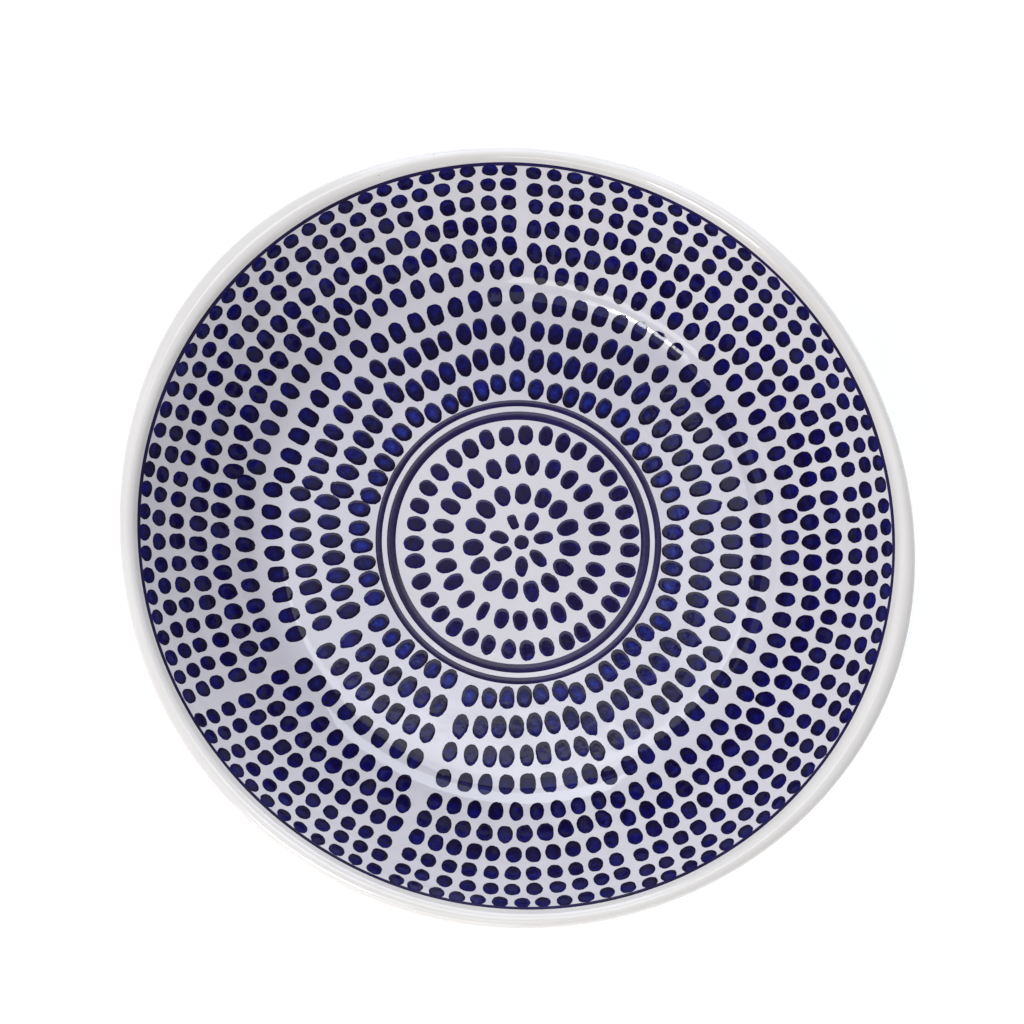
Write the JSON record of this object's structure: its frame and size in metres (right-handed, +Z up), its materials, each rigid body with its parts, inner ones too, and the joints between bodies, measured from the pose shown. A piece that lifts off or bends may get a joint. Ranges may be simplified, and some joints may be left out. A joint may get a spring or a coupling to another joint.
{
  "type": "porcelain serving bowl",
  "caption": "Round glazed porcelain serving bowl on a low foot ring, nearly flat floor and steep wall, decorated inside with rings of cobalt dabs.",
  "frame": {"origin": "centre of the foot ring's standing face", "axes": "+Z up along the bowl's axis; the edge between the last and the first floor and wall transfers is 31.5 degrees from +X towards -Y"},
  "size_m": [0.3012, 0.3012, 0.0732],
  "materials": {
    "porcelain_body": "matte",
    "glaze_white": "gloss",
    "glaze_ivory": "gloss",
    "brushed_blue": "gloss",
    "cobalt_print": "gloss"
  },
  "bodies": {
    "root": {"bowl_body": "porcelain_body", "foot_ring": "porcelain_body", "glaze_inside": "glaze_white", "glaze_outside": "glaze_ivory", "glaze_underside": "glaze_ivory", "medallion_band_inner": "brushed_blue", "medallion_band_outer": "brushed_blue", "rim_line": "brushed_blue", "medallion_transfer": "cobalt_print", "floor_transfer_1": "cobalt_print", "floor_transfer_2": "cobalt_print", "floor_transfer_3": "cobalt_print", "floor_transfer_4": "cobalt_print", "floor_transfer_5": "cobalt_print", "floor_transfer_6": "cobalt_print", "floor_transfer_7": "cobalt_print", "floor_transfer_8": "cobalt_print", "floor_transfer_9": "cobalt_print", "wall_transfer_1": "cobalt_print", "wall_transfer_2": "cobalt_print", "wall_transfer_3": "cobalt_print", "wall_transfer_4": "cobalt_print", "wall_transfer_5": "cobalt_print", "wall_transfer_6": "cobalt_print", "wall_transfer_7": "cobalt_print", "wall_transfer_8": "cobalt_print", "wall_transfer_9": "cobalt_print"}
  },
  "joints": []
}
